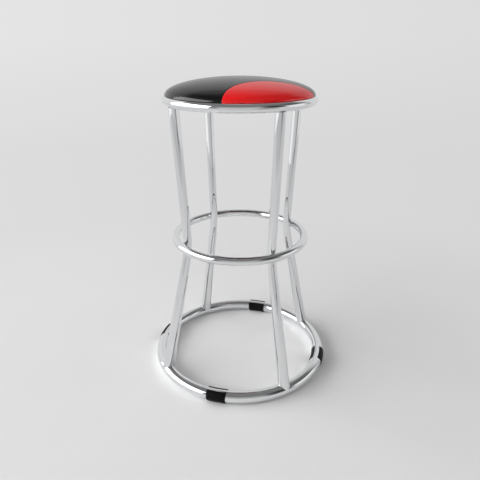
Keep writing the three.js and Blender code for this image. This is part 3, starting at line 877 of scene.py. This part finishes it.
def make_tabs(material):
    """Round-ended steel strips welded inside the seat ring, with rounded edges and a screw hole."""
    half = TAB_WIDTH / 2
    wall = SEAT.radius - math.sqrt((SEAT.tube + SEAT_GAP) ** 2 - (SEAT.height - TAB_TOP) ** 2)
    end = arc((HOLE_CIRCLE, 0), half, QUARTER_TURN, 3 * QUARTER_TURN, 20)
    hole = arc((HOLE_CIRCLE, 0), SCREW_HOLE_RADIUS, 0, TURN, 28)[:-1]
    for side, angle in SIDE_PLACES:
        plate = prism([(wall, -half), (wall, half)] + end, TAB_BOTTOM, TAB_TOP, angle)
        piece = new_piece("seat_tab_plate_" + side, *plate, material, "chrome", smooth=False)
        drill = put_mesh("drill", *prism(hole, TAB_BOTTOM - MM, TAB_TOP + MM, angle))
        modify(piece, "BOOLEAN", operation="DIFFERENCE", solver="EXACT", object=drill)
        discard(drill)
        soften(piece, TAB_ROUNDING, 2, 50)
        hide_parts("seat_tab_" + side)


def washer_profile(top):
    soft, bore, low = HARDWARE_ROUNDING, SCREW_RADIUS + SEAT_GAP, top - WASHER_THICKNESS
    return [(bore, low + soft), (bore + soft, low), (WASHER_RADIUS - soft, low), (WASHER_RADIUS, low + soft),
            (WASHER_RADIUS, top - soft), (WASHER_RADIUS - soft, top), (bore + soft, top), (bore, top - soft)]


def screw_profile(head_top):
    """A button head with a socket, and a threaded shank above it."""
    soft, bottom, tip = HARDWARE_ROUNDING, head_top - SCREW_HEAD_HEIGHT, BOARD_TOP - SCREW_TIP_DEPTH
    flat, crown = (SCREW_HEAD_RADIUS + SOCKET_RADIUS) / 2, SCREW_HEAD_HEIGHT * 0.8
    rows = [(0.0, bottom + SOCKET_DEPTH), (SOCKET_RADIUS, bottom + SOCKET_DEPTH),
            (SOCKET_RADIUS, bottom + soft), (SOCKET_RADIUS + soft, bottom)]
    rows += arc((flat, bottom + crown), SCREW_HEAD_RADIUS - flat, -QUARTER_TURN, 0, 7, crown)
    rows += [(SCREW_HEAD_RADIUS, head_top - soft), (SCREW_HEAD_RADIUS - soft, head_top)]
    rows.append((SCREW_RADIUS, head_top))
    z = head_top + THREAD_PITCH
    while z < tip - THREAD_PITCH:
        rows += [(SCREW_RADIUS, z), (SCREW_RADIUS - THREAD_DEPTH, z + THREAD_PITCH / 2)]
        z += THREAD_PITCH
    return rows + [(SCREW_RADIUS - THREAD_DEPTH, tip), (0.0, tip)]


def make_fasteners(zinc):
    """A button head screw with a hexagon socket, and a plain washer, under each tab."""
    washer_top = TAB_BOTTOM - SEAT_GAP
    head_top = washer_top - WASHER_THICKNESS - SEAT_GAP
    for side, angle in SIDE_PLACES:
        at = around((HOLE_CIRCLE, 0, 0), angle).xy
        piece = lathe("washer_disc_" + side, washer_profile(washer_top), 40, zinc, "zinc_plate", at)
        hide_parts("seat_washer_" + side)
        piece = lathe("screw_button_" + side, screw_profile(head_top), 48, zinc, "zinc_plate", at)
        make_socket_hexagonal(piece, at, head_top - SCREW_HEAD_HEIGHT + SOCKET_DEPTH)
        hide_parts("seat_screw_" + side)


def make_socket_hexagonal(piece, at, floor):
    """Draws the round recess of a screw's head in to six flats."""
    for vertex in piece.data.vertices:
        out = vertex.co.xy - at
        if 0 < out.length <= SOCKET_RADIUS + FINE_MERGE / 4 and vertex.co.z <= floor + FINE_MERGE:
            turn = math.atan2(out.y, out.x) % (TURN / 6) - TURN / 12
            vertex.co.xy = at + out * (math.cos(TURN / 12) / math.cos(turn))


def make_undercloth(cloth, zinc):
    """A disc of cloth stapled under the board, pierced by the screws, and its ring of staples."""
    spokes, rings, wave_height, skin_top = 144, 30, 0.04 * MM, CLOTH_TOP - 0.05 * MM
    points, faces = disc([(CLOTH_RADIUS * i / rings, skin_top) for i in range(rings + 1)], spokes)
    holes = [around((HOLE_CIRCLE, 0, skin_top), angle) for _, angle in SIDE_PLACES]

    def pierced(face):
        middle = sum((points[k] for k in face), Vector()) / len(face)
        return any((middle - hole).length <= SCREW_HOLE_RADIUS for hole in holes)

    kept = [face[::-1] for face in faces if not pierced(face)]
    piece = new_piece("undercloth_disc", points, kept, cloth, "black_cloth")
    draw = random.Random(11)
    waves = [(draw.randint(2, 9), draw.uniform(0, TURN)) for _ in range(4)]
    for vertex in piece.data.vertices:
        x, y, _ = vertex.co
        turn, share = math.atan2(y, x), math.hypot(x, y) / CLOTH_RADIUS
        wave = sum(math.sin(number * turn + phase) for number, phase in waves) / len(waves)
        vertex.co.z -= wave_height * share * (1 + wave)
    modify(piece, "SOLIDIFY", thickness=0.4 * MM, offset=-1)
    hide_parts("underseat_cloth")
    make_staples(zinc)


def make_staples(zinc):
    """A ring of flat wire staples, driven up through the cloth into the board."""
    bends = [(-0.5, 0.4), (-0.47, 0.12), (-0.43, 0.0), (0.43, 0.0), (0.47, 0.12), (0.5, 0.4)]
    wire = [(-0.5, 0.0), (-0.5, 0.35), (0.5, 0.35), (0.5, 0.0)]
    at, low = CLOTH_RADIUS - STAPLE_INSET, CLOTH_BOTTOM - STAPLE_STANDS_OUT
    points, faces = [], []
    for i in range(STAPLE_COUNT):
        first = len(points)
        points += [around((at + across * STAPLE_WIDTH, along * STAPLE_LENGTH, low + (up + thick) * MM),
                          TURN * (i + 0.5) / STAPLE_COUNT) for along, up in bends for across, thick in wire]
        faces += capped_faces(len(bends), len(wire), first)
    return new_piece("cloth_staples", points, faces, zinc, "zinc_plate", FINE_MERGE, smooth=False)


def dress_kept_nodes(plywood, zinc):
    """Gives the CAD nodes that stay their finishes."""
    kept = {"seat_board": plywood, **{"tee_nut_" + side: zinc for side, _ in SIDE_PLACES}}
    for node, material in kept.items():
        for piece_slot in bpy.data.objects[node].material_slots:
            piece_slot.material = material


# Studio


def make_floor():
    """A pale sweep that keeps the stool's shadow and fades into an even background away from it.
    For the chrome it glows with painted light: paler behind the stool, with painted shade on the camera's
    side and on the right."""
    floor = put_mesh("floor", *disc([(0, 0), (3.3, 0)], 96))
    shader = Shader("floor_paper_and_painted_glow")
    paper = shader.colours(shader.noise(3, 2), (0.3, (0.70, 0.70, 0.70)), (0.7, (0.71, 0.71, 0.71)))
    floor.data.materials.append(shader.surface(Base_Color=paper, Roughness=0.9, Specular_IOR_Level=0.2))

    def along(azimuth):
        """Distance from the stool's axis towards an azimuth, in degrees from the camera's side."""
        turn = CAMERA_AZIMUTH + math.radians(azimuth)
        inputs = {0: shader.place, 1: (math.sin(turn), -math.cos(turn), 0)}
        return shader.node("VectorMath", inputs, operation="DOT_PRODUCT").outputs["Value"]

    nearer, across, corner = along(0), along(90), 32.74
    past_corner = shader.math("SUBTRACT", along(corner), shader.math("ABSOLUTE", along(corner + 90)))
    # Painted light: the floor glows for rays from the chrome, paler behind the stool and with painted shade
    # towards the camera, on the right and past the corner
    painted_reflection_level = 0.96
    for value, start, end, change in ((nearer, -0.2, -2.5, 0.12), (nearer, 1.3, 1.9, -0.2),
                                      (across, 0.2, 1.2, -0.1), (past_corner, 2.0, 2.9, -0.35)):
        painted_reflection_level = shader.math("ADD", painted_reflection_level, shader.ease(value, start, end, 0.0, change))
    depth = shader.math("MAXIMUM", shader.math("SUBTRACT", CAMERA_DISTANCE, nearer), BACKGROUND_NEAREST)
    slant = shader.math("MAXIMUM", shader.math("DIVIDE", across, depth), -BACKGROUND_WIDEST)
    seen = shader.background(shader.math("DIVIDE", CAMERA_HEIGHT, depth),
                             shader.math("MINIMUM", slant, BACKGROUND_WIDEST))
    rays = shader.node("LightPath").outputs
    straight, glossy = rays["Is Camera Ray"], rays["Is Glossy Ray"]
    level = shader.math("MULTIPLY_ADD", straight, seen, shader.math("MULTIPLY", glossy, painted_reflection_level))
    # The glow: the background's level for the camera, the painted reflection level above for the chrome
    painted_glow = shader.node("Emission", {"Color": WHITE, "Strength": shader.math("MULTIPLY", BACKGROUND, level)})
    away = shader.node("VectorMath", {0: shader.place}, operation="LENGTH").outputs["Value"]
    fade = shader.ease(away, 0.55, 1.5)
    shader.cover(shader.math("MULTIPLY", fade, shader.math("MAXIMUM", straight, glossy)), painted_glow)


class Sky(Nodes):
    """The studio as light from each direction, in degrees of azimuth from the camera's side."""

    def __init__(self, level):
        world = bpy.data.worlds.new("studio")
        bpy.context.scene.world = world
        world.use_nodes = True
        super().__init__(world.node_tree)
        self.tree.nodes.clear()
        self.light = level
        self.rays = self.node("LightPath").outputs
        place = self.node("TexCoord").outputs["Generated"]
        turned = self.node("VectorRotate", {"Vector": place, "Angle": QUARTER_TURN - CAMERA_AZIMUTH},
                           rotation_type="Z_AXIS")
        split = self.node("SeparateXYZ", {0: turned.outputs[0]}).outputs
        turn = self.math("ARCTAN2", split["Y"], split["X"])
        lift = self.math("ARCSINE", split["Z"])
        self.azimuth, self.height = self.math("DEGREES", turn), self.math("DEGREES", lift)
        self.off_axis = self.math("ABSOLUTE", self.azimuth)
        self.across, self.slope = self.math("SINE", turn), self.math("TANGENT", lift)

    def window(self, value, low, high, soft):
        rise = self.ease(value, low - soft, low + soft)
        return self.math("SUBTRACT", rise, self.ease(value, high - soft, high + soft))

    def blend(self, level, across, upright):
        change = self.math("SUBTRACT", level, self.light)
        self.light = self.math("MULTIPLY_ADD", self.math("MULTIPLY", across, upright), change, self.light)

    def patch(self, azimuths, heights, level, soft, both_sides=False):
        """Sets the light inside a window of azimuth and height to a level."""
        across = self.window(self.off_axis if both_sides else self.azimuth, *azimuths, soft[0])
        self.blend(level, across, self.window(self.height, *heights, soft[1]))

    def soft_box(self, azimuth, half_width, top, level, soft):
        """Sets the light inside an upright rectangle that faces the stool and stands just off the floor."""
        turn = self.math("SUBTRACT", self.azimuth, azimuth)
        facing = self.math("MAXIMUM", self.math("COSINE", self.math("RADIANS", turn)), 0.05)
        rim = math.tan(math.radians(top))
        width = math.radians(soft) * (1 + rim * rim)
        above = self.ease(self.math("DIVIDE", self.slope, facing), rim - width, rim + width)
        upright = self.math("SUBTRACT", self.ease(self.height, 0, 4), above)
        self.blend(level, self.window(turn, -half_width, half_width, soft), upright)

    def by_way_of(self, seen, twice, cast):
        """A light's level seen in one mirror, seen by way of two, and thrown on the floor by the chrome."""
        on_floor = self.math("GREATER_THAN", self.rays["Diffuse Depth"], 0.5)
        again = self.math("GREATER_THAN", self.rays["Glossy Depth"], 1.5)
        level = self.math("MULTIPLY_ADD", again, twice - seen, seen)
        return self.math("MULTIPLY_ADD", on_floor, self.math("SUBTRACT", cast, level), level)

    def finish(self, ambient):
        """Shows the chrome the studio, the camera a plain background and all else an even light."""
        below = self.math("MAXIMUM", self.math("MULTIPLY", self.slope, -1), 0)
        backdrop = self.math("MULTIPLY", BACKGROUND, self.background(below, self.across))
        level = ambient
        for ray, light in (("Glossy", self.light), ("Transmission", self.light), ("Camera", backdrop)):
            change = self.math("SUBTRACT", light, level)
            level = self.math("MULTIPLY_ADD", self.rays[f"Is {ray} Ray"], change, level)
        background = self.node("Background", {"Color": WHITE, "Strength": level})
        self.node("OutputWorld", {"Surface": background.outputs[0]})


def make_world():
    """The studio as the chrome shows it: a pale sweep behind the stool, a large soft box on the left, a small
    one on the right, a grey room above and a darker corner right of the camera."""
    sky = Sky(0.2)
    sky.patch((118, 250), (-90, 43), 0.72, (5, 6), both_sides=True)
    sky.patch((-156, -118), (0, 41), 0.79, (8, 5))
    sky.patch((148, 250), (56, 90), 0.36, (10, 6), both_sides=True)
    sky.patch((148, 250), (44, 56), 0.55, (8, 5), both_sides=True)
    sky.patch((-34, 33), (-90, 33), 0.40, (8, 5))
    sky.patch((-28, 32), (-90, 13), 0.61, (8, 5))
    sky.patch((36, 68), (7, 47), 0.095, (9, 6))
    sky.patch((45, 60), (18, 42), 0.04, (6, 7))
    sky.patch((22, 62), (-90, 5), 0.36, (8, 4))
    sky.patch((56, 90), (-90, -2), 0.95, (6, 3))
    sky.patch((68, 122), (26, 52), 0.115, (8, 6))
    sky.patch((68, 120), (-90, 26), 0.50, (8, 6))
    sky.patch((104, 132), (-90, -4), 0.72, (6, 2))
    sky.patch((72, 106), (-90, 1), 0.80, (6, 3))
    sky.soft_box(88, 18, 22, 0.95, 6)
    sky.patch((-46, -34), (-3, 44), 0.24, (2, 3))
    sky.patch((-46, -18), (-90, -3), 0.70, (5, 3))
    sky.patch((-117, -44), (-90, 0), 1.05, (3, 3))
    sky.soft_box(-81.1, 35.9, 42.9, sky.by_way_of(3.6, 1.2, 11.0), 0.8)
    sky.finish(0.43)


def area_light(name, azimuth, height, distance, size, watts):
    """A soft box that faces the stool, at an azimuth from the camera's side and an angle of height."""
    lamp = bpy.data.lights.new(name, "AREA")
    lamp.shape = "RECTANGLE"
    lamp.size, lamp.size_y = size
    lamp.energy = watts
    piece = put(name, lamp)
    turn, up = CAMERA_AZIMUTH + math.radians(azimuth), math.radians(height)
    back = Vector((math.sin(turn) * math.cos(up), -math.cos(turn) * math.cos(up), math.sin(up)))
    piece.location = Vector((0, 0, 0.3)) + back * distance
    piece.rotation_mode = "QUATERNION"
    piece.rotation_quaternion = (-back).to_track_quat("-Z", "Y")
    piece.visible_camera = False
    piece.visible_glossy = False


def make_camera():
    data = bpy.data.cameras.new("camera")
    data.lens = CAMERA_LENS
    camera = put("camera", data)
    camera.location = around((0, -CAMERA_DISTANCE, CAMERA_HEIGHT), CAMERA_AZIMUTH)
    camera.rotation_euler = (QUARTER_TURN - CAMERA_PITCH, 0, CAMERA_AZIMUTH)
    bpy.context.scene.camera = camera


def main():
    make_camera()
    make_floor()
    make_world()
    area_light("key", -83, 20, 9.0, (13.0, 6.6), 1545)
    area_light("fill", 95, 24, 5.0, (2.4, 2.0), 40)
    chrome, zinc = chrome_material(), zinc_material()
    for ring in (BASE, FOOTREST, SEAT):
        make_ring(ring, chrome)
    make_legs(chrome, weld_material())
    make_clips(plastic_material())
    black = vinyl_material("black_vinyl", (0.0010, 0.0010, 0.0012), (0.0018, 0.0018, 0.0020))
    red = vinyl_material("red_vinyl", (0.72, 0.006, 0.008), (0.80, 0.009, 0.010))
    make_cushion(black, red, foam_material())
    make_tabs(chrome)
    make_fasteners(zinc)
    make_undercloth(cloth_material(), zinc)
    dress_kept_nodes(plywood_material(), zinc)
    bpy.context.scene.view_settings.view_transform = "Standard"


main()
